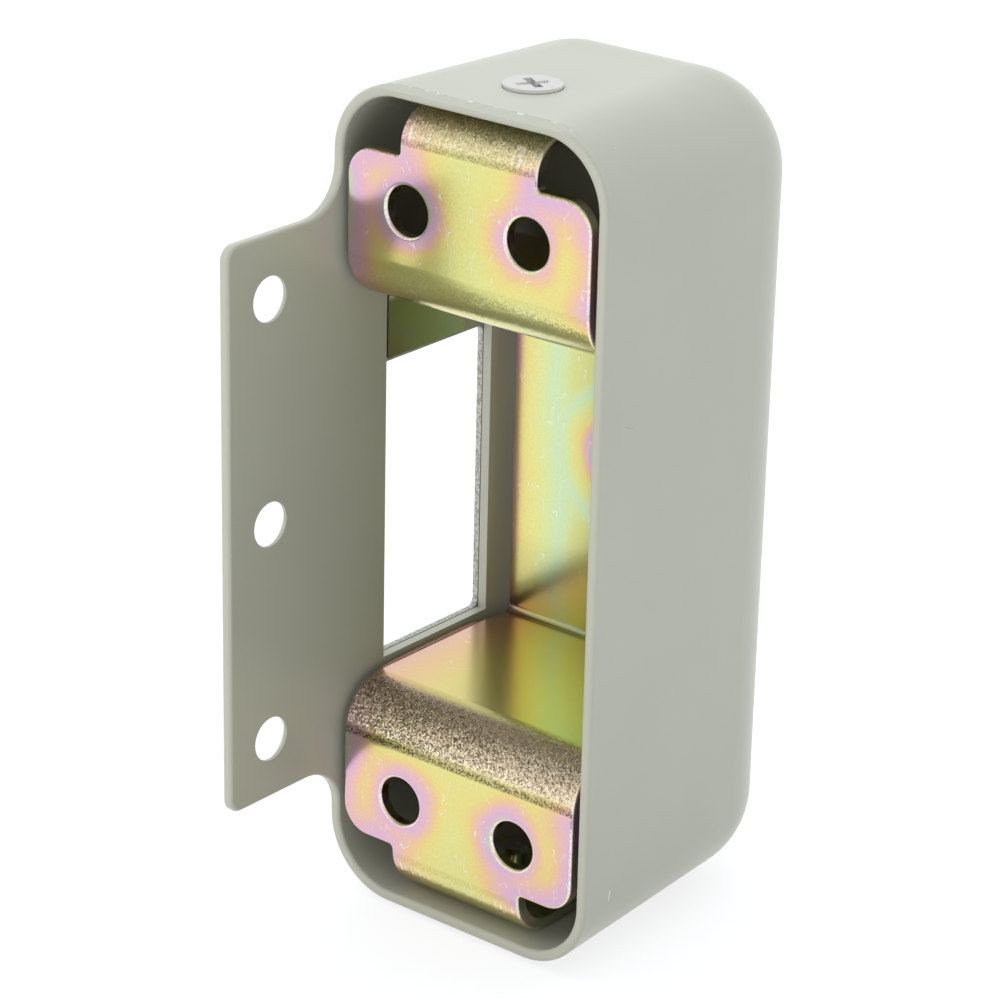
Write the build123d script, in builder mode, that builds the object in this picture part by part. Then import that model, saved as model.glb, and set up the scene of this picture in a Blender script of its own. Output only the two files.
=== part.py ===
"""Surface-mounted strike box for a rim lock.

A drawn and painted sheet steel cover is screwed over a folded, zinc-plated steel bracket.
Millimetres, +Z up. X = 0 and Z = 0 are the cover's middle planes, and Y = 0 is the mounting
face, where the bracket's plates and the cover's open rim lie against the door frame. The cover
stands out towards +Y, and its screw flange reaches round the edge of the frame towards -Y.
"""

import os
from math import radians, tan

from build123d import *

# Cover: a drawn shell with an open front
cover_width = 43.2
cover_height = 112.0
cover_depth = 43.6
cover_sheet = 1.5
rim_corner_radius = 10.0
back_corner_radius = 14.0
back_edge_radius = 11.5
rim_rounding = 0.5
rim_bevel_drop = 0.6
rim_bevel_run = 1.4

# Screw flange, which carries the lock-side wall forward past the rim
flange_reach = 20.8
flange_corner_radius = 2.0
flange_root_radius = 6.3
flange_root_margin = 1.35
flange_hole_diameter = 6.0
flange_hole_count = 3
flange_hole_end_margin = 8.35
flange_hole_setback = 13.2
flange_sink_diameter = 8.1
flange_sink_angle = 90.0

# Opening for the bolts in that wall
window_front = 8.9
window_back_margin = 3.3
window_sill = 0.7
cutout_edge_rounding = 0.3

# Plate on the outside of the wall, which frames the window
window_plate_sheet = 0.85
window_corner_radius = 1.2
window_plate_margin = 4.5
window_plate_back_margin = 3.0
window_plate_corner_radius = 3.0

# Bracket: one strip with a hat-shaped section
bracket_sheet = 1.6
bracket_edge_rounding = 0.4
bracket_side_gap = 0.9
bracket_back_gap = 6.9
channel_drop = 29.4
shelf_bend_radius = 7.0
back_bend_radius = 1.0
back_plate_inset = 0.7
shoulder_margin = 6.1
shoulder_run = 2.5
ear_step = 1.2
ear_width = 8.45
ear_corner_radius = 4.0
plate_hole_diameter = 6.5
plate_hole_spacing = 19.0
middle_hole_diameter = 6.5
hole_rounding = 0.5

# Cover tabs, bent back from the ends of the strip under the cover's top and bottom walls
top_tab_bend_radius = 4.7
bottom_tab_bend_radius = 6.5
tab_beyond_screw = 8.2
top_tab_gap = 1.2
bottom_tab_gap = 0.1
tab_root_radius = 0.6
tab_corner_radius = 3.0

# Tongue of the upper shelf, bent down inside the wall's cut-out to close its top
tongue_front_clearance = 0.15
tongue_width = 15.5
tongue_drop = 10.2
tongue_lift = 1.25
tongue_wall_clearance = 0.05
tongue_bend_radius = 2.5
tongue_overlap = 4.0
cutout_top_clearance = 0.6

# Edge of the lower shelf, which bulges out to the lock-side wall
bulge_lead = 0.5
bulge_front_run = 8.0
bulge_back_run = 2.0
bulge_radius = 8.0
bulge_clearance = 0.15

# Countersunk cross-recess screws, which hold the cover on the tabs
screw_setback = 11.8
screw_shift = 0.5
screw_diameter = 4.0
screw_head_diameter = 7.6
screw_head_proud = 0.45
screw_head_angle = 90.0
screw_head_rounding = 0.12
screw_length = 8.0
screw_clearance = 0.06
screw_point_chamfer = 0.5
recess_width = 4.4
recess_slot = 1.1
recess_depth = 1.7
recess_tip_width = 1.5
recess_tip_slot = 0.5
recess_turn = 60.0

# Sizes and places that follow from those above
wall_outer = -cover_width / 2
wall_inner = wall_outer + cover_sheet
cover_half = cover_height / 2
flange_drop = rim_corner_radius + flange_root_radius + flange_root_margin
flange_height = cover_height - 2 * flange_drop
flange_hole_pitch = (flange_height - 2 * flange_hole_end_margin) / (flange_hole_count - 1)
half_sheet = bracket_sheet / 2
bracket_width = cover_width - 2 * cover_sheet - 2 * bracket_side_gap
strip_edge = -bracket_width / 2
tab_width = bracket_width - 2 * ear_width
channel_half = cover_half - channel_drop
channel_depth = cover_depth - cover_sheet - bracket_back_gap - bracket_sheet
shelf_middle = channel_half + half_sheet
back_middle = channel_depth + half_sheet
back_edge = strip_edge + back_plate_inset
shoulder_start = channel_depth - shoulder_margin
top_tab_face = cover_half - cover_sheet - top_tab_gap
bottom_tab_face = cover_half - cover_sheet - bottom_tab_gap
top_tab_middle = top_tab_face - half_sheet
bottom_tab_middle = bottom_tab_face - half_sheet
tab_reach = screw_setback + tab_beyond_screw
plates_half = top_tab_face - top_tab_bend_radius - ear_step
plate_hole_pitch = plates_half + channel_half + shelf_bend_radius
tongue_bottom = channel_half - tongue_drop
tongue_front = window_front + tongue_front_clearance
tongue_middle = wall_outer + tongue_wall_clearance + half_sheet
cutout_top = shelf_middle + half_sheet + cutout_top_clearance
window_back = channel_depth - window_back_margin
window_bottom = window_sill - channel_half
window_top = tongue_bottom - tongue_lift
window_middle = (window_front + window_back) / 2
window_width = window_back - window_front
bulge_front = shelf_bend_radius + bulge_lead
bulge_edge = wall_inner + bulge_clearance
top_seat = Plane((screw_shift, screw_setback, cover_half), z_dir=(0, 0, 1))
bottom_seat = Plane((screw_shift, screw_setback, -cover_half), z_dir=(0, 0, -1))


def drawn_body(inset):
    """The cover's outside shape, or with an inset its inside shape."""
    depth = cover_depth - inset
    width = cover_width - 2 * inset
    height = cover_height - 2 * inset
    growth = (back_corner_radius - rim_corner_radius) * depth / cover_depth
    with BuildPart() as body:
        with BuildSketch(Plane.XZ):
            RectangleRounded(width, height, rim_corner_radius - inset)
        with BuildSketch(Plane.XZ.offset(-depth)):
            RectangleRounded(width, height, rim_corner_radius + growth - inset)
        loft()
        fillet(body.faces().sort_by(Axis.Y)[-1].edges(), back_edge_radius - inset)
    return body.part


def screw_seats():
    """Cuts the seats and bores for both screws into the part being built."""
    with Locations(top_seat, bottom_seat):
        CounterSinkHole(
            radius=screw_diameter / 2 + screw_clearance,
            counter_sink_radius=screw_head_diameter / 2 + screw_clearance,
            depth=screw_length,
            counter_sink_angle=screw_head_angle,
        )


def cover_screw(seat):
    """A countersunk screw with a cross recess, whose head lies in the seat."""
    head = screw_head_diameter / 2
    shank = screw_diameter / 2
    cone = (head - shank) / tan(radians(screw_head_angle / 2))
    side = Plane(seat.origin, x_dir=seat.x_dir, z_dir=-seat.y_dir)
    with BuildPart() as screw:
        with BuildSketch(side) as profile:
            with BuildLine():
                Polyline(
                    (0, screw_head_proud),
                    (head, screw_head_proud),
                    (head, 0),
                    (shank, -cone),
                    (shank, screw_point_chamfer - screw_length),
                    (shank - screw_point_chamfer, -screw_length),
                    (0, -screw_length),
                    close=True,
                )
            make_face()
            fillet(profile.vertices().group_by(Axis.X)[-1], screw_head_rounding)
        revolve(axis=Axis(seat.origin, seat.z_dir))
        for turn in (recess_turn, recess_turn + 90):
            with BuildSketch(seat.offset(screw_head_proud)):
                Rectangle(recess_width, recess_slot, rotation=turn)
            with BuildSketch(seat.offset(screw_head_proud - recess_depth)):
                Rectangle(recess_tip_width, recess_tip_slot, rotation=turn)
            loft(mode=Mode.SUBTRACT)
    return screw.part


# Cover
with BuildPart() as cover:
    add(drawn_body(0))
    add(drawn_body(cover_sheet), mode=Mode.SUBTRACT)

    # Flange in line with the lock-side wall
    with BuildSketch(Plane.YZ.offset(wall_outer)):
        Rectangle(flange_reach, flange_height, align=(Align.MAX, Align.CENTER))
    extrude(amount=cover_sheet)
    across_sheet = cover.edges().filter_by(Axis.X).filter_by(lambda e: e.length < 2 * cover_sheet)
    fillet(across_sheet.group_by(Axis.Y)[0], flange_corner_radius)
    fillet(across_sheet.group_by(Axis.Y)[-1], flange_root_radius)

    # Tumbled edge all round the rim and the flange
    rim = cover.edges().filter_by_position(Axis.Y, -flange_reach, 0)
    seams = rim.filter_by(Axis.X).filter_by(lambda e: e.length < 2 * cover_sheet)
    fillet(rim - seams, rim_rounding)

    # Bevel that the trimming left along the top of the rim
    with BuildSketch(Plane.YZ.offset(wall_outer)):
        with BuildLine():
            Polyline(
                (0, cover_half - rim_bevel_drop),
                (rim_bevel_run, cover_half),
                (0, cover_half),
                close=True,
            )
        make_face()
    extrude(amount=cover_width, mode=Mode.SUBTRACT)

    # Countersunk flange holes
    with Locations(Plane.left.offset(-wall_outer)):
        with Locations((flange_hole_setback, 0)):
            with GridLocations(0, flange_hole_pitch, 1, flange_hole_count):
                CounterSinkHole(
                    radius=flange_hole_diameter / 2,
                    counter_sink_radius=flange_sink_diameter / 2,
                    depth=cover_sheet,
                    counter_sink_angle=flange_sink_angle,
                )

    # Cut-out behind the window plate, high enough for the bracket's tongue
    with BuildSketch(Plane.YZ.offset(wall_outer)):
        with Locations((window_middle, (window_bottom + cutout_top) / 2)):
            Rectangle(window_width, cutout_top - window_bottom)
    extrude(amount=cover_sheet, mode=Mode.SUBTRACT)
    cutout_edges = (
        cover.edges()
        .filter_by_position(Axis.X, wall_outer - rim_rounding, wall_outer + rim_rounding)
        .filter_by_position(Axis.Y, window_front, window_back)
        .filter_by_position(Axis.Z, window_bottom, cutout_top)
    )
    fillet(cutout_edges, cutout_edge_rounding)

    screw_seats()

# Window plate
with BuildPart() as window_plate:
    plate_front = window_front - window_plate_margin
    plate_back = window_back + window_plate_back_margin
    plate_bottom = window_bottom - window_plate_margin
    plate_top = cutout_top + window_plate_margin
    with BuildSketch(Plane.YZ.offset(wall_outer)):
        with Locations(((plate_front + plate_back) / 2, (plate_bottom + plate_top) / 2)):
            RectangleRounded(
                plate_back - plate_front,
                plate_top - plate_bottom,
                window_plate_corner_radius,
            )
        with Locations((window_middle, (window_bottom + window_top) / 2)):
            RectangleRounded(
                window_width,
                window_top - window_bottom,
                window_corner_radius,
                mode=Mode.SUBTRACT,
            )
    extrude(amount=-window_plate_sheet)

# Bracket
with BuildPart() as bracket:
    with BuildSketch(Plane.YZ.offset(strip_edge)):
        with BuildLine():
            FilletPolyline(
                (tab_reach, top_tab_middle),
                (half_sheet, top_tab_middle),
                (half_sheet, shelf_middle),
                (back_middle, shelf_middle),
                (back_middle, -shelf_middle),
                (half_sheet, -shelf_middle),
                (half_sheet, -bottom_tab_middle),
                (tab_reach, -bottom_tab_middle),
                radius=[
                    top_tab_bend_radius - half_sheet,
                    shelf_bend_radius - half_sheet,
                    back_bend_radius + half_sheet,
                    back_bend_radius + half_sheet,
                    shelf_bend_radius - half_sheet,
                    bottom_tab_bend_radius - half_sheet,
                ],
            )
        trace(line_width=bracket_sheet)
    extrude(amount=bracket_width)

    # Front outline, with the ends of the strip cut down to the tabs' width
    with BuildSketch(Plane.XZ) as outline:
        RectangleRounded(bracket_width, 2 * plates_half, ear_corner_radius)
        Rectangle(tab_width, 2 * bottom_tab_face)
        tab_side = tab_width / 2 + tab_root_radius / 2
        tab_root = plates_half + tab_root_radius / 2
        roots = outline.vertices().filter_by_position(Axis.X, -tab_side, tab_side)
        fillet(roots.filter_by_position(Axis.Y, -tab_root, tab_root), tab_root_radius)
    extrude(amount=-(back_middle + half_sheet), mode=Mode.INTERSECT)
    tab_corners = bracket.edges().filter_by(Axis.Z).filter_by_position(
        Axis.Y, tab_reach - half_sheet, tab_reach + half_sheet
    )
    fillet(tab_corners, tab_corner_radius)

    # Punched edge, rolled in all round the strip's visible side
    plates = bracket.faces().filter_by(Axis.Y).group_by(Axis.Y)[0]
    punched = plates.edges().filter_by(lambda e: e.length < tab_width / 2)
    fillet(punched, bracket_edge_rounding)

    # Shoulders that narrow the shelves to the back plate
    with BuildSketch(Plane.XY.offset(-shelf_middle - half_sheet)):
        with BuildLine():
            Polyline(
                (strip_edge, shoulder_start),
                (back_edge, shoulder_start + shoulder_run),
                (back_edge, back_middle + half_sheet),
                (strip_edge, back_middle + half_sheet),
                close=True,
            )
        make_face()
        mirror(about=Plane.YZ)
    extrude(amount=2 * (shelf_middle + half_sheet), mode=Mode.SUBTRACT)

    # Bulging edge of the lower shelf
    with BuildSketch(Plane.XY.offset(-shelf_middle - half_sheet)):
        with BuildLine():
            FilletPolyline(
                (strip_edge, bulge_front),
                (bulge_edge, bulge_front + bulge_front_run),
                (bulge_edge, shoulder_start - bulge_back_run),
                (strip_edge, shoulder_start),
                radius=bulge_radius,
            )
            Line((strip_edge, shoulder_start), (strip_edge, bulge_front))
        make_face()
    extrude(amount=bracket_sheet)

    # Tongue of the upper shelf
    with BuildSketch(Plane.XZ.offset(-tongue_front)):
        with BuildLine():
            FilletPolyline(
                (strip_edge + tongue_overlap, shelf_middle),
                (tongue_middle, shelf_middle),
                (tongue_middle, tongue_bottom),
                radius=tongue_bend_radius + half_sheet,
            )
        trace(line_width=bracket_sheet)
    extrude(amount=-tongue_width)

    # Punched holes with a rolled-in front edge
    with Locations(Plane.XZ):
        with GridLocations(plate_hole_spacing, plate_hole_pitch, 2, 2):
            Hole(plate_hole_diameter / 2, depth=bracket_sheet)
    with Locations(Plane.XZ.offset(-channel_depth)):
        Hole(middle_hole_diameter / 2, depth=bracket_sheet)
    circles = bracket.edges().filter_by(GeomType.CIRCLE).filter_by(lambda e: e.is_closed)
    front_circles = circles.filter_by_position(Axis.Y, -half_sheet, half_sheet)
    middle_circle = circles.filter_by_position(Axis.Y, channel_depth - half_sheet, back_middle)
    fillet(front_circles + middle_circle, hole_rounding)

    screw_seats()

top_screw = cover_screw(top_seat)
bottom_screw = cover_screw(bottom_seat)

os.makedirs("parts", exist_ok=True)
cover.part.label = "cover"
window_plate.part.label = "window_plate"
bracket.part.label = "bracket"
top_screw.label = "top_screw"
bottom_screw.label = "bottom_screw"
export_step(cover.part, "parts/cover.step")
export_step(window_plate.part, "parts/window_plate.step")
export_step(bracket.part, "parts/bracket.step")
export_step(top_screw, "parts/top_screw.step")
export_step(bottom_screw, "parts/bottom_screw.step")
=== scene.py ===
# %% [markdown]
# # A surface-mounted strike box in Blender
#
# The object is the keeper of a rim lock: a drawn sheet steel cover with semi-gloss paint, and
# behind its open front a folded bracket with yellow zinc plating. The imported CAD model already
# holds every piece at its real size, so this lesson loads it as a fixed frame and spends its
# effort on what a photograph shows beyond shape: paint, plating, wear and light.

import math

import bmesh
import bpy
from mathutils import Euler, Matrix, Vector


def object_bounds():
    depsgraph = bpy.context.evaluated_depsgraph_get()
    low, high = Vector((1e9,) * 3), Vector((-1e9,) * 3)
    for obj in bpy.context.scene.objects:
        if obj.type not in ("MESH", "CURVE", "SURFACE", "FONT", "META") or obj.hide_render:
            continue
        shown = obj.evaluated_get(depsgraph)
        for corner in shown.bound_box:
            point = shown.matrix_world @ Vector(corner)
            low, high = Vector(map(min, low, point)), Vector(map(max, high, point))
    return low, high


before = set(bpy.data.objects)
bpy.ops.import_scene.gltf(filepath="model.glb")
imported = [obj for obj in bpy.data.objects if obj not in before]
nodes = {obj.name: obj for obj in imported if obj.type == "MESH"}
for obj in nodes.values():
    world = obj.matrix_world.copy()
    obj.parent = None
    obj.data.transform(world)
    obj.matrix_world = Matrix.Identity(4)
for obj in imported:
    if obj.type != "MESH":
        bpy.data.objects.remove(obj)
cad_low, cad_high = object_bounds()
print("pieces:", ", ".join(sorted(nodes)))
print("CAD box in mm:", [round(1000 * (b - a), 1) for a, b in zip(cad_low, cad_high)])

# %% [markdown]
# ## Camera
#
# The picture was taken with a long lens from the upper right, so parallel edges stay nearly
# parallel. Its place was solved from the part's own edges and holes. A camera in Blender looks
# down its own -Z axis: tilting it up by 90 degrees less the elevation and turning it by the
# azimuth aims it at the part, and a small roll matches the way the picture leans.

# %% Place the camera
camera_data = bpy.data.cameras.new("camera")
camera_data.sensor_width = 36.0
camera_data.lens = 129.46
camera_data.clip_start = 0.01
camera_data.clip_end = 20.0
camera = bpy.data.objects.new("camera", camera_data)
bpy.context.scene.collection.objects.link(camera)

camera_azimuth = math.radians(38.77)
camera_elevation = math.radians(22.12)
camera_roll = math.radians(1.33)
camera_place = (0.26478, -0.32178, 0.17437)
aim = Euler((math.pi / 2 - camera_elevation, 0.0, camera_azimuth)).to_matrix()
camera.matrix_world = Matrix.Translation(camera_place) @ (
    aim @ Matrix.Rotation(camera_roll, 3, "Z")
).to_4x4()
bpy.context.scene.camera = camera
print("camera distance in mm:", round(1000 * camera.location.length))

# %% [markdown]
# ## Light, floor and background
#
# A soft, bright tent of light suits both finishes: semi-gloss paint needs large pale areas to
# reflect, and plating shows its tints best in front of white. The world gives that light, and for
# matt surfaces it is strongest from overhead. Two large area lamps, one at the back right and one
# in front, then give the walls their different tones.

# %% A helper that adds a node
def add_node(tree, kind, settings=None, **inputs):
    """Adds a node, sets its properties, and feeds each named input with a value or an output."""
    node = tree.nodes.new(kind)
    for name, value in (settings or {}).items():
        setattr(node, name, value)
    for name, value in inputs.items():
        key = int(name[1:]) if name[0] == "_" else name.replace("_", " ")
        if isinstance(value, bpy.types.NodeSocket):
            tree.links.new(value, node.inputs[key])
        else:
            node.inputs[key].default_value = value
    return node


# %% Plain world light
scene = bpy.context.scene
scene.view_settings.view_transform = "Standard"

world = bpy.data.worlds.new("light tent")
scene.world = world
world.use_nodes = True
world.node_tree.nodes.clear()
world_path = add_node(world.node_tree, "ShaderNodeLightPath")
seen_directly = add_node(
    world.node_tree,
    "ShaderNodeMath",
    {"operation": "MAXIMUM"},
    _0=world_path.outputs["Is Camera Ray"],
    _1=world_path.outputs["Is Transmission Ray"],
)
seen_white = add_node(
    world.node_tree,
    "ShaderNodeMath",
    {"operation": "MAXIMUM"},
    _0=seen_directly.outputs[0],
    _1=world_path.outputs["Is Glossy Ray"],
)
print("view transform:", scene.view_settings.view_transform)

# %% A tent that is brightest overhead
toward_overhead = (-0.30, 0.18, 0.93)
weakest_tent, strongest_tent = 0.27, 3.0
dimmest_ceiling = 0.50
looking = add_node(world.node_tree, "ShaderNodeTexCoord")
height = add_node(world.node_tree, "ShaderNodeSeparateXYZ", Vector=looking.outputs["Generated"])
ceiling = add_node(
    world.node_tree,
    "ShaderNodeMapRange",
    _0=height.outputs["Z"],
    _1=0.42,
    _2=0.80,
    _3=1.0,
    _4=dimmest_ceiling,
)
overhead = add_node(
    world.node_tree,
    "ShaderNodeVectorMath",
    {"operation": "DOT_PRODUCT"},
    _0=looking.outputs["Generated"],
    _1=toward_overhead,
)
tent_power = add_node(
    world.node_tree,
    "ShaderNodeMapRange",
    _0=overhead.outputs["Value"],
    _1=0.25,
    _2=0.95,
    _3=weakest_tent,
    _4=strongest_tent,
)
tent = add_node(
    world.node_tree,
    "ShaderNodeBackground",
    Color=(0.88, 0.93, 1.0, 1.0),
    Strength=tent_power.outputs[0],
)
print("tent strength:", weakest_tent, "to", strongest_tent)

# %% The white backdrop, and both joined
backdrop_power = add_node(
    world.node_tree,
    "ShaderNodeMath",
    {"operation": "MAXIMUM"},
    _0=ceiling.outputs[0],
    _1=seen_directly.outputs[0],
)
backdrop = add_node(
    world.node_tree,
    "ShaderNodeBackground",
    Color=(1.0, 1.0, 1.0, 1.0),
    Strength=backdrop_power.outputs[0],
)
world_mix = add_node(
    world.node_tree,
    "ShaderNodeMixShader",
    Fac=seen_white.outputs[0],
    _1=tent.outputs[0],
    _2=backdrop.outputs[0],
)
add_node(world.node_tree, "ShaderNodeOutputWorld", Surface=world_mix.outputs[0])
print("world:", world.name, "with", len(world.node_tree.nodes), "nodes")


# %% [markdown]
# Soft boxes are area lamps. A cool one at the back right brightens the long side wall, and a
# larger one in front, slightly warm, lights the rim and opens the shadows of the bracket. The
# light from above is part of the world, where only matt surfaces see it: so the top wall becomes
# the brightest plane, as it is in the picture. Mirror rays skip the lamps too, so from every side
# the plating mirrors a plain white tent, dimmer overhead, and keeps its tints.

# %% Two soft boxes
def soft_box(name, place, size, power, colour):
    """Adds a square area lamp that faces the middle of the part."""
    lamp_data = bpy.data.lights.new(name, "AREA")
    lamp_data.size = size
    lamp_data.energy = power
    lamp_data.color = colour
    lamp = bpy.data.objects.new(name, lamp_data)
    lamp.visible_glossy = False
    scene.collection.objects.link(lamp)
    toward_part = (-Vector(place)).to_track_quat("-Z", "Y")
    lamp.matrix_world = Matrix.Translation(place) @ toward_part.to_matrix().to_4x4()


soft_box("side box", (0.62, 0.72, 0.15), 0.7, 2.3, (0.74, 0.83, 1.0))
soft_box("front box", (0.08, -0.94, 0.05), 0.9, 6.9, (1.0, 0.98, 0.97))

# %% [markdown]
# The floor is a plain pale sheet just under the lower screw. A camera ray or a mirror ray sees it
# nearly white, as the backdrop is, and still sees the part's soft shadow on it.

# %% Floor
floor_half_side = 3.0
floor_gap = 0.0002
floor_mesh = bpy.data.meshes.new("floor")
floor_shape = bmesh.new()
bmesh.ops.create_grid(floor_shape, x_segments=1, y_segments=1, size=floor_half_side)
bmesh.ops.translate(floor_shape, verts=floor_shape.verts, vec=(0, 0, cad_low[2] - floor_gap))
floor_shape.to_mesh(floor_mesh)
floor_shape.free()
floor = bpy.data.objects.new("floor", floor_mesh)
scene.collection.objects.link(floor)
print("floor height in mm:", round(1000 * (cad_low[2] - floor_gap), 2))

# %% White paper that keeps a soft shadow
paper_share = 0.80
paper_glow_power = 1.02
paper = bpy.data.materials.new("matt white paper floor")
paper.use_nodes = True
paper.node_tree.nodes.clear()
paper_path = add_node(paper.node_tree, "ShaderNodeLightPath")
paper_bright = add_node(
    paper.node_tree,
    "ShaderNodeMath",
    {"operation": "MAXIMUM"},
    _0=paper_path.outputs["Is Camera Ray"],
    _1=paper_path.outputs["Is Glossy Ray"],
)
paper_fac = add_node(
    paper.node_tree,
    "ShaderNodeMath",
    {"operation": "MULTIPLY"},
    _0=paper_bright.outputs[0],
    _1=paper_share,
)
paper_matt = add_node(paper.node_tree, "ShaderNodeBsdfDiffuse", Color=(0.82, 0.82, 0.81, 1.0))
paper_glow = add_node(
    paper.node_tree,
    "ShaderNodeEmission",
    Color=(1.0, 1.0, 1.0, 1.0),
    Strength=paper_glow_power,
)
paper_mix = add_node(
    paper.node_tree,
    "ShaderNodeMixShader",
    Fac=paper_fac.outputs[0],
    _1=paper_matt.outputs[0],
    _2=paper_glow.outputs[0],
)
add_node(paper.node_tree, "ShaderNodeOutputMaterial", Surface=paper_mix.outputs[0])
floor_mesh.materials.append(paper)
print("floor has", paper.name)

# %% [markdown]
# ## Semi-gloss stoving enamel
#
# The cover is drawn from sheet steel, phosphated, sprayed with a grey-beige enamel and baked. The
# film is thin and levels well, so it looks smooth with a broad sheen. Close up it has faint orange
# peel of about a millimetre, a nick and two scratches on the long side wall, and chips along the
# top of the rim where the film is thinnest.

# %% Helpers for colour, scale, finishes and ramps
def linear(hex_colour):
    """Turns an sRGB colour such as #A0B0C0 into the linear values that a shader wants."""
    channels = [int(hex_colour[i : i + 2], 16) / 255 for i in (1, 3, 5)]
    return [c / 12.92 if c <= 0.04045 else ((c + 0.055) / 1.055) ** 2.4 for c in channels] + [1.0]


def per_mm(millimetres):
    """The texture scale that gives features of this size on Object coordinates in metres."""
    return 1000.0 / millimetres


def new_finish(name):
    """An empty node material with its shader, output and Object coordinates."""
    material = bpy.data.materials.new(name)
    material.use_nodes = True
    tree = material.node_tree
    tree.nodes.clear()
    shader = add_node(tree, "ShaderNodeBsdfPrincipled")
    add_node(tree, "ShaderNodeOutputMaterial", Surface=shader.outputs[0])
    place = add_node(tree, "ShaderNodeTexCoord")
    return material, tree, shader, place


def fill_ramp(ramp, stops):
    """Gives a colour ramp its stops. It starts with two, so the others are added."""
    for index, (position, colour) in enumerate(stops):
        if index < 2:
            stop = ramp.elements[index]
            stop.position = position
        else:
            stop = ramp.elements.new(position)
        stop.color = colour


# %% The enamel's own colour and orange peel
enamel_ior = 1.52
enamel_roughness = 0.30
enamel_darker = "#9F9E8F"
enamel_lighter = "#A5A494"
enamel, tree, shader, place = new_finish("semi-gloss stoving enamel")
at = place.outputs["Object"]
shader.inputs["IOR"].default_value = enamel_ior
shader.inputs["Roughness"].default_value = enamel_roughness
cloud = add_node(tree, "ShaderNodeTexNoise", Vector=at, Scale=per_mm(14), Detail=3.0)
tone = add_node(
    tree,
    "ShaderNodeMix",
    {"data_type": "RGBA"},
    _0=cloud.outputs["Fac"],
    _6=linear(enamel_darker),
    _7=linear(enamel_lighter),
)
peel = add_node(tree, "ShaderNodeTexNoise", Vector=at, Scale=per_mm(1.3), Detail=1.0)
peel_bump = add_node(
    tree, "ShaderNodeBump", Strength=0.35, Distance=0.00001, Height=peel.outputs["Fac"]
)
tree.links.new(peel_bump.outputs[0], shader.inputs["Normal"])
print(enamel.name, "is", enamel_darker, "to", enamel_lighter)


# %% [markdown]
# A scratch or a nick is a stretched ball: the Mapping node moves the coordinates to the mark,
# turns them and divides them by the mark's half sizes, so inside it the length is below one.

# %% A helper for small marks
def mark(tree, at, centre, turn, half_sizes):
    """A mask that is one inside a small stretched ball and zero outside it, in metres."""
    moved = add_node(
        tree,
        "ShaderNodeMapping",
        {"vector_type": "TEXTURE"},
        Vector=at,
        Location=centre,
        Rotation=turn,
        Scale=half_sizes,
    )
    distance = add_node(
        tree, "ShaderNodeVectorMath", {"operation": "LENGTH"}, _0=moved.outputs[0]
    )
    return add_node(
        tree, "ShaderNodeMapRange", _0=distance.outputs["Value"], _1=0.6, _2=1.0, _3=1.0, _4=0.0
    )


# %% Two scratches and a nick on the side wall
side_wall = cad_high[0]
primer = "#DADAD2"
grime = "#5E5F55"
low_scratch = mark(
    tree, at, (side_wall, 0.00518, -0.0454), (-0.17, 0.0, 0.0), (0.001, 0.00010, 0.00095)
)
corner_nick = mark(
    tree, at, (side_wall, 0.0054, 0.0532), (0.0, 0.0, 0.0), (0.004, 0.0003, 0.0002)
)
thin_scratch = mark(
    tree, at, (side_wall, 0.0057, 0.0185), (1.21, 0.0, 0.0), (0.001, 0.00006, 0.00110)
)
bared = add_node(
    tree,
    "ShaderNodeMath",
    {"operation": "MAXIMUM"},
    _0=low_scratch.outputs[0],
    _1=corner_nick.outputs[0],
)
nicked = add_node(
    tree,
    "ShaderNodeMix",
    {"data_type": "RGBA"},
    _0=bared.outputs[0],
    _6=tone.outputs[2],
    _7=linear(primer),
)
thin_share = add_node(
    tree, "ShaderNodeMath", {"operation": "MULTIPLY"}, _0=thin_scratch.outputs[0], _1=0.4
)
lined = add_node(
    tree,
    "ShaderNodeMix",
    {"data_type": "RGBA"},
    _0=thin_share.outputs[0],
    _6=nicked.outputs[2],
    _7=linear(grime),
)
print("marks sit on the wall at x in mm:", round(1000 * side_wall, 2))

# %% [markdown]
# The top of the rim was trimmed after drawing. The enamel is thin on the edge where the trimmed
# bevel meets the top wall, and there it has chipped in a ragged line: light where the primer
# shows, dark where the steel does.

# %% Chipped line along the top of the rim
bevel_back = 0.00142
line_wave = 0.00014
bare_steel = "#74746A"
chip_primer = "#D6D6CE"
enamel_axes = add_node(tree, "ShaderNodeSeparateXYZ", Vector=at)
line_offset = add_node(
    tree, "ShaderNodeMath", {"operation": "SUBTRACT"}, _0=enamel_axes.outputs["Y"], _1=bevel_back
)
ragged = add_node(tree, "ShaderNodeTexNoise", Vector=at, Scale=per_mm(0.8), Detail=3.0)
ragged_shift = add_node(
    tree,
    "ShaderNodeMapRange",
    _0=ragged.outputs["Fac"],
    _1=0.3,
    _2=0.7,
    _3=-line_wave,
    _4=line_wave,
)
line_wander = add_node(
    tree,
    "ShaderNodeMath",
    {"operation": "ADD"},
    _0=line_offset.outputs[0],
    _1=ragged_shift.outputs[0],
)
line_side = add_node(tree, "ShaderNodeMath", {"operation": "ABSOLUTE"}, _0=line_wander.outputs[0])
line_width = add_node(
    tree, "ShaderNodeMapRange", _0=line_side.outputs[0], _1=0.00004, _2=0.00011, _3=1.0, _4=0.0
)
line_high = add_node(
    tree, "ShaderNodeMapRange", _0=enamel_axes.outputs["Z"], _1=0.0545, _2=0.0556, _3=0.0, _4=1.0
)
chip_noise = add_node(tree, "ShaderNodeTexNoise", Vector=at, Scale=per_mm(2.2), Detail=3.0)
chip_gate = add_node(
    tree, "ShaderNodeMapRange", _0=chip_noise.outputs["Fac"], _1=0.47, _2=0.56, _3=0.0, _4=0.75
)
print("chips follow y in mm:", round(1000 * bevel_back, 2))

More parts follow.
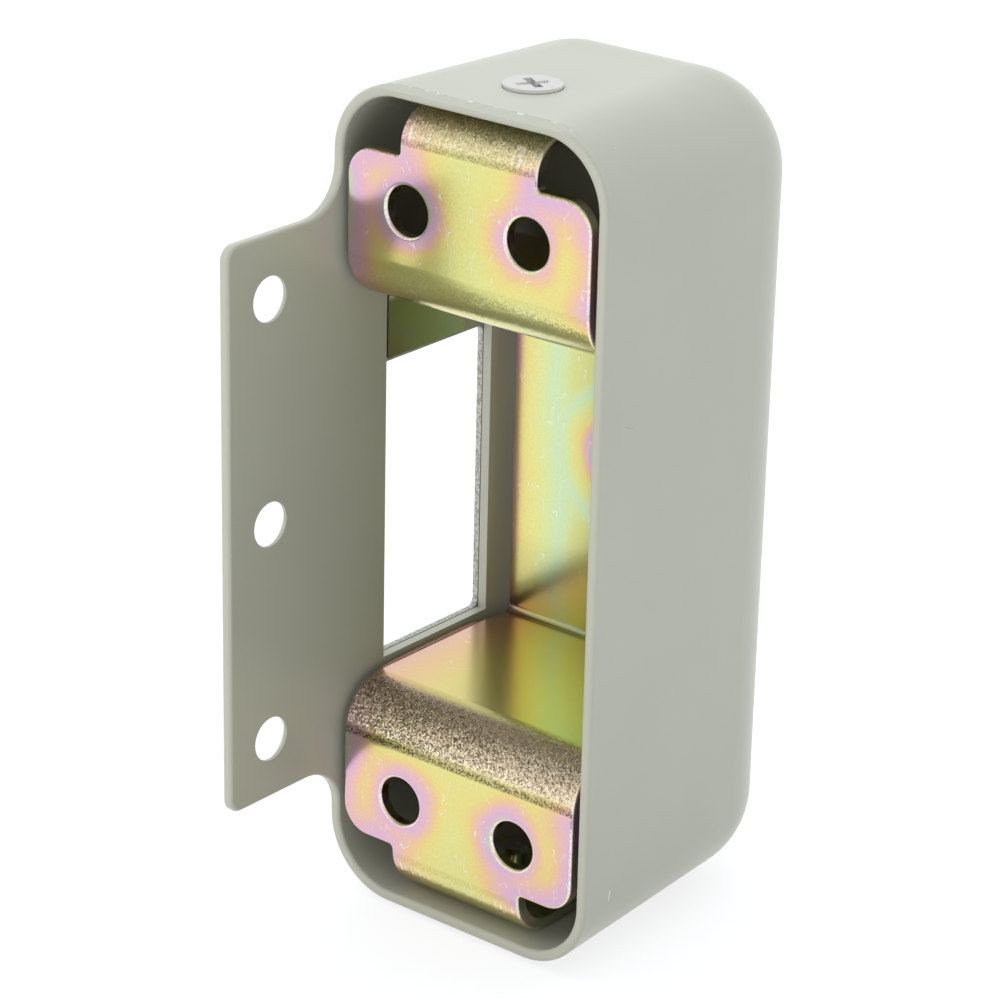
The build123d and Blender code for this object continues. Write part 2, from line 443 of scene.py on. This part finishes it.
# %% Chips along that line
line_there = add_node(
    tree,
    "ShaderNodeMath",
    {"operation": "MULTIPLY"},
    _0=line_width.outputs[0],
    _1=line_high.outputs[0],
)
chipped = add_node(
    tree,
    "ShaderNodeMath",
    {"operation": "MULTIPLY"},
    _0=line_there.outputs[0],
    _1=chip_gate.outputs[0],
)
chip_depth = add_node(
    tree, "ShaderNodeMapRange", _0=ragged.outputs["Fac"], _1=0.50, _2=0.58, _3=0.0, _4=1.0
)
chip_colour = add_node(
    tree,
    "ShaderNodeMix",
    {"data_type": "RGBA"},
    _0=chip_depth.outputs[0],
    _6=linear(bare_steel),
    _7=linear(chip_primer),
)
chipped_tone = add_node(
    tree,
    "ShaderNodeMix",
    {"data_type": "RGBA"},
    _0=chipped.outputs[0],
    _6=lined.outputs[2],
    _7=chip_colour.outputs[2],
)
tree.links.new(chipped_tone.outputs[2], shader.inputs["Base Color"])
print(enamel.name, "has", len(tree.nodes), "nodes")

# %% [markdown]
# The thin plate round the window was sheared from painted sheet, so its cut edge is bare: a rough,
# torn grey band beside the smooth enamel. The cut faces look along Y and Z, the painted ones
# along X.

# %% Sheared edge of the window plate
sheet_paint = "#A1A190"
torn_darker = "#7B7A73"
torn_lighter = "#BAB9B0"
torn_roughness = 0.55
sheared, tree, shader, place = new_finish("enamelled sheet with a sheared edge")
at = place.outputs["Object"]
shader.inputs["IOR"].default_value = enamel_ior
sheet_normal = add_node(
    tree, "ShaderNodeVectorMath", {"operation": "ABSOLUTE"}, _0=place.outputs["Normal"]
)
sheet_facing = add_node(tree, "ShaderNodeSeparateXYZ", Vector=sheet_normal.outputs[0])
bare_edge = add_node(
    tree, "ShaderNodeMapRange", _0=sheet_facing.outputs["X"], _1=0.2, _2=0.6, _3=1.0, _4=0.0
)
torn = add_node(tree, "ShaderNodeTexNoise", Vector=at, Scale=per_mm(0.35), Detail=2.0)
torn_colours = add_node(
    tree, "ShaderNodeMapRange", _0=torn.outputs["Fac"], _1=0.35, _2=0.65, _3=0.0, _4=1.0
)
torn_metal = add_node(
    tree,
    "ShaderNodeMix",
    {"data_type": "RGBA"},
    _0=torn_colours.outputs[0],
    _6=linear(torn_darker),
    _7=linear(torn_lighter),
)
sheet_tone = add_node(
    tree,
    "ShaderNodeMix",
    {"data_type": "RGBA"},
    _0=bare_edge.outputs[0],
    _6=linear(sheet_paint),
    _7=torn_metal.outputs[2],
)
tree.links.new(sheet_tone.outputs[2], shader.inputs["Base Color"])
sheet_gloss = add_node(
    tree,
    "ShaderNodeMapRange",
    _0=bare_edge.outputs[0],
    _1=0.0,
    _2=1.0,
    _3=enamel_roughness,
    _4=torn_roughness,
)
tree.links.new(sheet_gloss.outputs[0], shader.inputs["Roughness"])
torn_bump = add_node(
    tree,
    "ShaderNodeBump",
    Strength=bare_edge.outputs[0],
    Distance=0.00005,
    Height=torn.outputs["Fac"],
)
tree.links.new(torn_bump.outputs[0], shader.inputs["Normal"])
print(sheared.name, "has", len(tree.nodes), "nodes")

# %% [markdown]
# ## Yellow zinc plating
#
# The bracket is electroplated with zinc and passivated, which leaves a thin film whose thickness
# decides its colour by interference: lilac and pink at edges and round holes, then peach, yellow
# and green farther in. So the film's thickness is modelled as the distance from the nearest edge
# or hole, blurred with noise, and a colour ramp reads it. The bracket is much the same on its left
# and right and its top and bottom, so distances are taken in one folded quarter. Only the tongue
# has a distance of its own.

# %% Places on the bracket that the film follows, and how fast it grows from them
front_hole = (0.0095, 0.0, 0.0405)
hole_radius = 0.0034
middle_extra = 0.0016
strip_side = 0.0192
tab_side = 0.0107
ear_top = 0.0474
tongue_edge = 0.0246
back_plate = 0.034
hole_growth = 1.6
tongue_growth = 4.0
tongue_thickest = 0.0085
outline_blend = 0.003
hole_blend = 0.0034
print("front holes are", round(2000 * front_hole[2], 1), "mm apart in height")

# %% Folded coordinates and the distance to a hole
zinc, tree, shader, place = new_finish("yellow zinc plating")
at = place.outputs["Object"]
axes = add_node(tree, "ShaderNodeSeparateXYZ", Vector=at)
across = add_node(tree, "ShaderNodeMath", {"operation": "ABSOLUTE"}, _0=axes.outputs["X"])
along = add_node(tree, "ShaderNodeMath", {"operation": "ABSOLUTE"}, _0=axes.outputs["Z"])
folded = add_node(
    tree, "ShaderNodeCombineXYZ", X=across.outputs[0], Y=0.0, Z=along.outputs[0]
)
from_hole = add_node(
    tree,
    "ShaderNodeVectorMath",
    {"operation": "DISTANCE"},
    _0=folded.outputs[0],
    _1=front_hole,
)
from_middle = add_node(
    tree, "ShaderNodeVectorMath", {"operation": "LENGTH"}, _0=folded.outputs[0]
)
middle_halo = add_node(
    tree,
    "ShaderNodeMath",
    {"operation": "SUBTRACT"},
    _0=from_middle.outputs["Value"],
    _1=middle_extra,
)
nearest_hole = add_node(
    tree,
    "ShaderNodeMath",
    {"operation": "MINIMUM"},
    _0=from_hole.outputs["Value"],
    _1=middle_halo.outputs[0],
)
hole_rim = add_node(
    tree, "ShaderNodeMath", {"operation": "SUBTRACT"}, _0=nearest_hole.outputs[0], _1=hole_radius
)
hole_gap = add_node(
    tree, "ShaderNodeMath", {"operation": "MULTIPLY"}, _0=hole_rim.outputs[0], _1=hole_growth
)
print("hole film starts at a radius in mm of:", round(1000 * hole_radius, 2))

# %% The distance to the strip's sides and to its ears
side_gap = add_node(
    tree, "ShaderNodeMath", {"operation": "SUBTRACT"}, _0=strip_side, _1=across.outputs[0]
)
ear_side = add_node(
    tree, "ShaderNodeMath", {"operation": "SUBTRACT"}, _0=tab_side, _1=across.outputs[0]
)
ear_end = add_node(
    tree, "ShaderNodeMath", {"operation": "SUBTRACT"}, _0=ear_top, _1=along.outputs[0]
)
ear_gap = add_node(
    tree, "ShaderNodeMath", {"operation": "MAXIMUM"}, _0=ear_side.outputs[0], _1=ear_end.outputs[0]
)
print("side film starts at x in mm:", round(1000 * strip_side, 2))

# %% The tongue beside the window
tongue_far = add_node(
    tree, "ShaderNodeMath", {"operation": "SUBTRACT"}, _0=tongue_edge, _1=axes.outputs["Y"]
)
tongue_here = add_node(
    tree, "ShaderNodeMapRange", _0=axes.outputs["X"], _1=-0.0195, _2=-0.0192, _3=1.0, _4=0.0
)
above_middle = add_node(
    tree, "ShaderNodeMath", {"operation": "GREATER_THAN"}, _0=axes.outputs["Z"], _1=0.0
)
tongue_fast = add_node(
    tree, "ShaderNodeMath", {"operation": "MULTIPLY"}, _0=tongue_far.outputs[0], _1=tongue_growth
)
tongue_film = add_node(
    tree,
    "ShaderNodeMath",
    {"operation": "MINIMUM"},
    _0=tongue_fast.outputs[0],
    _1=tongue_thickest,
)
tongue_share = add_node(
    tree,
    "ShaderNodeMath",
    {"operation": "MULTIPLY"},
    _0=tongue_here.outputs[0],
    _1=above_middle.outputs[0],
)
tongue_gap = add_node(
    tree,
    "ShaderNodeMath",
    {"operation": "MULTIPLY"},
    _0=tongue_film.outputs[0],
    _1=tongue_share.outputs[0],
)
print("tongue film starts at y in mm:", round(1000 * tongue_edge, 2))

# %% The nearest of them all
strip_gap = add_node(
    tree,
    "ShaderNodeMath",
    {"operation": "MAXIMUM"},
    _0=side_gap.outputs[0],
    _1=tongue_gap.outputs[0],
)
outline_gap = add_node(
    tree,
    "ShaderNodeMath",
    {"operation": "SMOOTH_MIN"},
    _0=strip_gap.outputs[0],
    _1=ear_gap.outputs[0],
    _2=outline_blend,
)
edge_gap = add_node(
    tree,
    "ShaderNodeMath",
    {"operation": "SMOOTH_MIN"},
    _0=outline_gap.outputs[0],
    _1=hole_gap.outputs[0],
    _2=hole_blend,
)
print("plating so far:", len(tree.nodes), "nodes")

# %% [markdown]
# The bath drains from the deep channel last, so the film runs on to green toward the back plate,
# while on the front plates it levels off at yellow. On the shelves, whose faces look along Z, it
# grows from one side to the other.

# %% How the film grows with depth
drift_most = 0.0024
back_growth = 1.9
front_level, back_level = 0.0086, 0.022
depth_growth = add_node(
    tree,
    "ShaderNodeMapRange",
    _0=axes.outputs["Y"],
    _1=0.0,
    _2=back_plate,
    _3=1.0,
    _4=back_growth,
)
grown = add_node(
    tree,
    "ShaderNodeMath",
    {"operation": "MULTIPLY"},
    _0=edge_gap.outputs[0],
    _1=depth_growth.outputs[0],
)
thickest = add_node(
    tree,
    "ShaderNodeMapRange",
    _0=axes.outputs["Y"],
    _1=0.0,
    _2=back_plate,
    _3=front_level,
    _4=back_level,
)
levelled = add_node(
    tree,
    "ShaderNodeMath",
    {"operation": "SMOOTH_MIN"},
    _0=grown.outputs[0],
    _1=thickest.outputs[0],
    _2=0.002,
)
drift = add_node(tree, "ShaderNodeTexNoise", Vector=at, Scale=per_mm(15), Detail=2.0)
drift_gap = add_node(
    tree,
    "ShaderNodeMapRange",
    _0=drift.outputs["Fac"],
    _1=0.3,
    _2=0.7,
    _3=-drift_most,
    _4=drift_most,
)
drifted = add_node(
    tree, "ShaderNodeMath", {"operation": "ADD"}, _0=levelled.outputs[0], _1=drift_gap.outputs[0]
)
print("film levels in mm, front and back:", 1000 * front_level, 1000 * back_level)

# %% The film on the shelves
shelf_side = 0.019
shelf_thinnest, shelf_thickest = 0.0026, 0.0135
normal_axes = add_node(
    tree, "ShaderNodeVectorMath", {"operation": "ABSOLUTE"}, _0=place.outputs["Normal"]
)
facing = add_node(tree, "ShaderNodeSeparateXYZ", Vector=normal_axes.outputs[0])
shelf_film = add_node(
    tree,
    "ShaderNodeMapRange",
    _0=axes.outputs["X"],
    _1=-shelf_side,
    _2=shelf_side,
    _3=shelf_thinnest,
    _4=shelf_thickest,
)
film = add_node(
    tree,
    "ShaderNodeMix",
    {"data_type": "FLOAT"},
    _0=facing.outputs["Z"],
    _2=drifted.outputs[0],
    _3=shelf_film.outputs[0],
)
print("shelf film in mm:", 1000 * shelf_thinnest, "to", 1000 * shelf_thickest)

# %% Film colours from thin to thick
thinnest_read, thickest_read = -0.001, 0.021
film_step = add_node(
    tree,
    "ShaderNodeMapRange",
    _0=film.outputs[0],
    _1=thinnest_read,
    _2=thickest_read,
    _3=0.0,
    _4=1.0,
)
colours = add_node(tree, "ShaderNodeValToRGB", Fac=film_step.outputs[0])
film_colours = (
    (0.00, "#C9CDB4"),
    (0.06, "#DDB7D4"),
    (0.14, "#E9BDBC"),
    (0.21, "#EDC998"),
    (0.29, "#E9DA8A"),
    (0.44, "#E3E092"),
    (0.58, "#DAE4A0"),
    (0.74, "#CFE4B8"),
    (0.90, "#D6E3A6"),
    (1.00, "#DADD92"),
)
fill_ramp(colours.color_ramp, [(position, linear(colour)) for position, colour in film_colours])
print("film colours:", len(colours.color_ramp.elements))

# %% [markdown]
# The press stretches the sheet where it folds, and the plating shows that as coarse crystals that
# tilt its normals; their lighter and darker colours are painted glints and painted shade. A face
# that looks along none of the three axes belongs to a bend. Each front bend was pressed
# differently hard. The tongue, the low end of the back plate and the upper side of the bends get
# painted shade in the material, because the picture shows them darker than this light does; the
# lower side of the bends gets a slight painted highlight.

# %% Where the sheet is bent
facing_yz = add_node(
    tree,
    "ShaderNodeMath",
    {"operation": "MAXIMUM"},
    _0=facing.outputs["Y"],
    _1=facing.outputs["Z"],
)
facing_flat = add_node(
    tree,
    "ShaderNodeMath",
    {"operation": "MAXIMUM"},
    _0=facing_yz.outputs[0],
    _1=facing.outputs["X"],
)
bent = add_node(
    tree, "ShaderNodeMapRange", _0=facing_flat.outputs[0], _1=0.955, _2=0.9992, _3=1.0, _4=0.0
)
print("faces that look along no axis are bends")

# %% How hard each front bend was pressed
bar_place = add_node(
    tree, "ShaderNodeMapRange", _0=axes.outputs["Z"], _1=-0.056, _2=0.056, _3=0.0, _4=1.0
)
# From the bottom up: the front bends of the lower tab, lower shelf, upper shelf and upper tab.
bend_shares = ((0.0, 0.15), (0.1, 1.0), (0.5, 0.12), (0.9, 0.6))
pressed_hard = add_node(tree, "ShaderNodeValToRGB", Fac=bar_place.outputs[0])
pressed_hard.color_ramp.interpolation = "CONSTANT"
fill_ramp(
    pressed_hard.color_ramp,
    [(position, (share, share, share, 1.0)) for position, share in bend_shares],
)
not_edge = add_node(
    tree, "ShaderNodeMapRange", _0=facing.outputs["X"], _1=0.1, _2=0.3, _3=1.0, _4=0.0
)
near_front = add_node(
    tree, "ShaderNodeMapRange", _0=axes.outputs["Y"], _1=0.009, _2=0.011, _3=1.0, _4=0.0
)
not_hole = add_node(
    tree, "ShaderNodeMapRange", _0=nearest_hole.outputs[0], _1=0.0039, _2=0.0042, _3=0.0, _4=1.0
)
bend_front = add_node(
    tree,
    "ShaderNodeMath",
    {"operation": "MULTIPLY"},
    _0=bent.outputs[0],
    _1=near_front.outputs[0],
)
bend_clear = add_node(
    tree,
    "ShaderNodeMath",
    {"operation": "MULTIPLY"},
    _0=not_edge.outputs[0],
    _1=not_hole.outputs[0],
)
bend_only = add_node(
    tree,
    "ShaderNodeMath",
    {"operation": "MULTIPLY"},
    _0=bend_front.outputs[0],
    _1=bend_clear.outputs[0],
)
pressed = add_node(
    tree,
    "ShaderNodeMath",
    {"operation": "MULTIPLY"},
    _0=bend_only.outputs[0],
    _1=pressed_hard.outputs[0],
)
print("bends, from the bottom up:", [share for position, share in bend_shares])

# %% Crystals that tilt the plating
crystal_mm = 0.19
grain = add_node(tree, "ShaderNodeTexNoise", Vector=at, Scale=per_mm(0.30), Detail=1.0)
crystals = add_node(tree, "ShaderNodeTexVoronoi", Vector=at, Scale=per_mm(crystal_mm))
crystal_tilt = add_node(
    tree,
    "ShaderNodeVectorMath",
    {"operation": "SUBTRACT"},
    _0=crystals.outputs["Color"],
    _1=(0.5, 0.5, 0.5),
)
tilt_share = add_node(
    tree, "ShaderNodeMapRange", _0=pressed.outputs[0], _1=0.0, _2=1.0, _3=0.015, _4=0.62
)
tilt = add_node(
    tree,
    "ShaderNodeVectorMath",
    {"operation": "SCALE"},
    _0=crystal_tilt.outputs[0],
    Scale=tilt_share.outputs[0],
)
tilted = add_node(
    tree,
    "ShaderNodeVectorMath",
    {"operation": "ADD"},
    _0=place.outputs["Normal"],
    _1=tilt.outputs[0],
)
tilted_unit = add_node(
    tree, "ShaderNodeVectorMath", {"operation": "NORMALIZE"}, _0=tilted.outputs[0]
)
tree.links.new(tilted_unit.outputs[0], shader.inputs["Normal"])
print("crystals in mm:", crystal_mm)

# %% Painted glints and painted shade on the crystals
bend_darkest, bend_brightest = 0.55, 1.7
crystal_axes = add_node(tree, "ShaderNodeSeparateXYZ", Vector=crystals.outputs["Color"])
darkest = add_node(
    tree, "ShaderNodeMapRange", _0=pressed.outputs[0], _1=0.0, _2=1.0, _3=0.95, _4=bend_darkest
)
brightest = add_node(
    tree, "ShaderNodeMapRange", _0=pressed.outputs[0], _1=0.0, _2=1.0, _3=1.0, _4=bend_brightest
)
# On a bend the crystals' colour is scaled at random: painted glints and painted shade.
shade = add_node(
    tree,
    "ShaderNodeMapRange",
    _0=crystal_axes.outputs["X"],
    _1=0.0,
    _2=1.0,
    _3=darkest.outputs[0],
    _4=brightest.outputs[0],
)
print("darkest and brightest crystals on a bend:", bend_darkest, bend_brightest)

# %% Painted shade on the tongue and the back plate's low end
# Painted shade: the tongue is darker, and the back plate darker towards its low end.
painted_tongue_shade_level, painted_corner_shade_level = 0.5, 0.6
painted_tongue_shade = add_node(
    tree,
    "ShaderNodeMapRange",
    _0=tongue_share.outputs[0],
    _1=0.0,
    _2=1.0,
    _3=1.0,
    _4=painted_tongue_shade_level,
)
painted_corner_shade = add_node(
    tree,
    "ShaderNodeMapRange",
    _0=axes.outputs["Z"],
    _1=-0.0262,
    _2=-0.014,
    _3=painted_corner_shade_level,
    _4=1.0,
)
on_back = add_node(
    tree, "ShaderNodeMath", {"operation": "GREATER_THAN"}, _0=axes.outputs["Y"], _1=0.0325
)
painted_back_shade = add_node(
    tree,
    "ShaderNodeMix",
    {"data_type": "FLOAT"},
    _0=on_back.outputs[0],
    _2=1.0,
    _3=painted_corner_shade.outputs[0],
)
print("tongue and corner toned down to:", painted_tongue_shade_level, painted_corner_shade_level)

# %% Painted shade on the upper side of the bends, and a painted highlight on the lower side
painted_bend_shade_level = 0.58
# Painted light on the bends: darker as they turn toward Z, slightly lighter where they look
# forward.
painted_bend_light_and_shade = add_node(
    tree,
    "ShaderNodeMapRange",
    _0=facing.outputs["Z"],
    _1=0.3,
    _2=0.92,
    _3=1.1,
    _4=painted_bend_shade_level,
)
painted_bend_light_mix = add_node(
    tree,
    "ShaderNodeMix",
    {"data_type": "FLOAT"},
    _0=pressed.outputs[0],
    _2=1.0,
    _3=painted_bend_light_and_shade.outputs[0],
)
painted_tongue_and_back_shade = add_node(
    tree,
    "ShaderNodeMath",
    {"operation": "MULTIPLY"},
    _0=painted_tongue_shade.outputs[0],
    _1=painted_back_shade.outputs[0],
)
painted_light_total = add_node(
    tree,
    "ShaderNodeMath",
    {"operation": "MULTIPLY"},
    _0=painted_tongue_and_back_shade.outputs[0],
    _1=painted_bend_light_mix.outputs[0],
)
# The crystals' painted glints and shade, times all the painted shade and highlight above.
shaded = add_node(
    tree,
    "ShaderNodeMath",
    {"operation": "MULTIPLY"},
    _0=shade.outputs[0],
    _1=painted_light_total.outputs[0],
)
print("bends toned down to:", painted_bend_shade_level)

# %% Dull tongue and bronze bends
dull_zinc = "#B9BDC4"
bend_bronze = "#D2BBAC"
dull_share = add_node(
    tree, "ShaderNodeMath", {"operation": "MULTIPLY"}, _0=tongue_share.outputs[0], _1=0.55
)
dulled = add_node(
    tree,
    "ShaderNodeMix",
    {"data_type": "RGBA"},
    _0=dull_share.outputs[0],
    _6=colours.outputs[0],
    _7=linear(dull_zinc),
)
bronze_share = add_node(
    tree, "ShaderNodeMath", {"operation": "MULTIPLY"}, _0=pressed.outputs[0], _1=0.80
)
bronze = add_node(
    tree,
    "ShaderNodeMix",
    {"data_type": "RGBA"},
    _0=bronze_share.outputs[0],
    _6=dulled.outputs[2],
    _7=linear(bend_bronze),
)
print("plating so far:", len(tree.nodes), "nodes")

# %% [markdown]
# Bending leaves marks of its own: beside the tabs' middle the press has dragged bright streaks.
# Where each bend starts a dark, rough line is painted shade, and the rounded edges and hole rims
# get a near-white painted highlight. Handling adds hairline scratches, drawn here as thin contour
# lines of a noise that a second noise lets through only in places.

# %% Painted shade where each bend starts
# A dark, rough line painted where each bend leaves the flat plate: painted shade.
painted_crease_shade_colour = "#4C3528"
crease_in = add_node(
    tree, "ShaderNodeMapRange", _0=axes.outputs["Y"], _1=0.00001, _2=0.00003, _3=0.0, _4=1.0
)
crease_out = add_node(
    tree, "ShaderNodeMapRange", _0=axes.outputs["Y"], _1=0.00008, _2=0.00022, _3=1.0, _4=0.0
)
below_plate = add_node(
    tree, "ShaderNodeMapRange", _0=along.outputs[0], _1=0.0345, _2=0.0360, _3=1.0, _4=0.0
)
above_plate = add_node(
    tree, "ShaderNodeMapRange", _0=along.outputs[0], _1=0.0465, _2=0.0478, _3=0.0, _4=1.0
)
off_plate = add_node(
    tree, "ShaderNodeMath", _0=below_plate.outputs[0], _1=above_plate.outputs[0]
)
crease_band = add_node(
    tree,
    "ShaderNodeMath",
    {"operation": "MULTIPLY"},
    _0=crease_in.outputs[0],
    _1=crease_out.outputs[0],
)
rough_patches = add_node(
    tree, "ShaderNodeMapRange", _0=grain.outputs["Fac"], _1=0.35, _2=0.6, _3=0.95, _4=0.3
)
crease_place = add_node(
    tree,
    "ShaderNodeMath",
    {"operation": "MULTIPLY"},
    _0=crease_band.outputs[0],
    _1=off_plate.outputs[0],
)
crease_hard = add_node(
    tree,
    "ShaderNodeMath",
    {"operation": "MULTIPLY"},
    _0=crease_place.outputs[0],
    _1=pressed_hard.outputs[0],
)
crease = add_node(
    tree,
    "ShaderNodeMath",
    {"operation": "MULTIPLY"},
    _0=crease_hard.outputs[0],
    _1=rough_patches.outputs[0],
)
print("creases are", painted_crease_shade_colour)

# %% Painted highlight on the rounded edges and hole rims
# The rounded edges and hole rims get a near-white painted highlight, broken up by a noise.
painted_edge_highlight_colour = "#F6F4EC"
edge_only = add_node(
    tree, "ShaderNodeMath", {"operation": "SUBTRACT"}, _0=1.0, _1=bend_clear.outputs[0]
)
painted_highlight_breakup = add_node(
    tree, "ShaderNodeMapRange", _0=grain.outputs["Fac"], _1=0.35, _2=0.65, _3=0.25, _4=0.9
)
edge_highlight_place = add_node(
    tree,
    "ShaderNodeMath",
    {"operation": "MULTIPLY"},
    _0=edge_only.outputs[0],
    _1=bent.outputs[0],
)
painted_edge_highlight = add_node(
    tree,
    "ShaderNodeMath",
    {"operation": "MULTIPLY"},
    _0=edge_highlight_place.outputs[0],
    _1=painted_highlight_breakup.outputs[0],
)
bright_edge = add_node(
    tree,
    "ShaderNodeMix",
    {"data_type": "RGBA"},
    _0=painted_edge_highlight.outputs[0],
    _6=bronze.outputs[2],
    _7=linear(painted_edge_highlight_colour),
)
with_painted_crease_shade = add_node(
    tree,
    "ShaderNodeMix",
    {"data_type": "RGBA"},
    _0=crease.outputs[0],
    _6=bright_edge.outputs[2],
    _7=linear(painted_crease_shade_colour),
)
print("rubbed edges are", painted_edge_highlight_colour)

# %% Streaks on the tabs
streak_zinc = "#F3E6CE"
streak_noise = add_node(
    tree,
    "ShaderNodeTexNoise",
    {"noise_dimensions": "1D"},
    W=axes.outputs["X"],
    Scale=per_mm(0.5),
    Detail=1.0,
)
streak_lines = add_node(
    tree, "ShaderNodeMapRange", _0=streak_noise.outputs["Fac"], _1=0.54, _2=0.60, _3=0.0, _4=1.0
)
streak_sides = add_node(
    tree, "ShaderNodeMapRange", _0=across.outputs[0], _1=0.0035, _2=0.0075, _3=0.0, _4=1.0
)
tab_only = add_node(
    tree, "ShaderNodeMapRange", _0=along.outputs[0], _1=0.0492, _2=0.0500, _3=0.0, _4=1.0
)
tab_front = add_node(
    tree, "ShaderNodeMapRange", _0=along.outputs[0], _1=0.0520, _2=0.0526, _3=1.0, _4=0.0
)
streak_band = add_node(
    tree,
    "ShaderNodeMath",
    {"operation": "MULTIPLY"},
    _0=tab_only.outputs[0],
    _1=tab_front.outputs[0],
)
streak_place = add_node(
    tree,
    "ShaderNodeMath",
    {"operation": "MULTIPLY"},
    _0=streak_sides.outputs[0],
    _1=streak_band.outputs[0],
)
streaks = add_node(
    tree,
    "ShaderNodeMath",
    {"operation": "MULTIPLY"},
    _0=streak_lines.outputs[0],
    _1=streak_place.outputs[0],
)
streaks_and_painted_light = add_node(
    tree,
    "ShaderNodeMix",
    {"data_type": "RGBA"},
    _0=streaks.outputs[0],
    _6=with_painted_crease_shade.outputs[2],
    _7=linear(streak_zinc),
)
print("streaks are", streak_zinc)

# %% Hairline scratches
scratch_zinc = "#F2F1E8"
stretched = add_node(
    tree,
    "ShaderNodeMapping",
    {"vector_type": "POINT"},
    Vector=at,
    Rotation=(0.0, 0.7, 0.0),
    Scale=(1.0, 1.0, 0.35),
)
hair_noise = add_node(
    tree, "ShaderNodeTexNoise", Vector=stretched.outputs[0], Scale=per_mm(2.2), Detail=2.5
)
hair_offset = add_node(
    tree, "ShaderNodeMath", {"operation": "SUBTRACT"}, _0=hair_noise.outputs["Fac"], _1=0.5
)
hair_side = add_node(tree, "ShaderNodeMath", {"operation": "ABSOLUTE"}, _0=hair_offset.outputs[0])
hair_line = add_node(
    tree, "ShaderNodeMapRange", _0=hair_side.outputs[0], _1=0.0015, _2=0.005, _3=1.0, _4=0.0
)
hair_where = add_node(tree, "ShaderNodeTexNoise", Vector=at, Scale=per_mm(3.5), Detail=2.0)
hair_gate = add_node(
    tree, "ShaderNodeMapRange", _0=hair_where.outputs["Fac"], _1=0.52, _2=0.58, _3=0.0, _4=0.85
)
hairlines = add_node(
    tree,
    "ShaderNodeMath",
    {"operation": "MULTIPLY"},
    _0=hair_line.outputs[0],
    _1=hair_gate.outputs[0],
)
scratches_and_painted_light = add_node(
    tree,
    "ShaderNodeMix",
    {"data_type": "RGBA"},
    _0=hairlines.outputs[0],
    _6=streaks_and_painted_light.outputs[2],
    _7=linear(scratch_zinc),
)
print("scratches are", scratch_zinc)

# %% The plating's colour and gloss
smooth_roughness, pressed_roughness = 0.22, 0.34
# Base colour: the film, streaks, scratches and painted light, times the painted glints and shade.
wear_and_painted_light = add_node(
    tree,
    "ShaderNodeVectorMath",
    {"operation": "SCALE"},
    _0=scratches_and_painted_light.outputs[2],
    Scale=shaded.outputs[0],
)
tree.links.new(wear_and_painted_light.outputs[0], shader.inputs["Base Color"])
gloss = add_node(
    tree,
    "ShaderNodeMapRange",
    _0=pressed.outputs[0],
    _1=0.0,
    _2=1.0,
    _3=smooth_roughness,
    _4=pressed_roughness,
)
tree.links.new(gloss.outputs[0], shader.inputs["Roughness"])
shader.inputs["Metallic"].default_value = 1.0
print(zinc.name, "has", len(tree.nodes), "nodes")

# %% [markdown]
# ## Bright zinc screws
#
# The screws are cold-headed and plated with clear zinc, which stays a bright, nearly neutral
# silver with a soft shine.

# %% Bright zinc
bright_roughness = 0.17
bright_colour = "#D8D8D6"
silver, tree, shader, place = new_finish("bright zinc plating")
at = place.outputs["Object"]
shader.inputs["Metallic"].default_value = 1.0
shader.inputs["Roughness"].default_value = bright_roughness
shader.inputs["Base Color"].default_value = linear(bright_colour)
pitted = add_node(tree, "ShaderNodeTexNoise", Vector=at, Scale=per_mm(0.6), Detail=2.0)
pitted_bump = add_node(
    tree, "ShaderNodeBump", Strength=0.4, Distance=0.00002, Height=pitted.outputs["Fac"]
)
tree.links.new(pitted_bump.outputs[0], shader.inputs["Normal"])
print(silver.name, "is", bright_colour)

# %% Give each piece its finish
for piece, finish in (
    ("cover", enamel),
    ("window_plate", sheared),
    ("bracket", zinc),
    ("top_screw", silver),
    ("bottom_screw", silver),
):
    for slot in nodes[piece].material_slots:
        slot.material = finish
    print(piece, "has", finish.name)
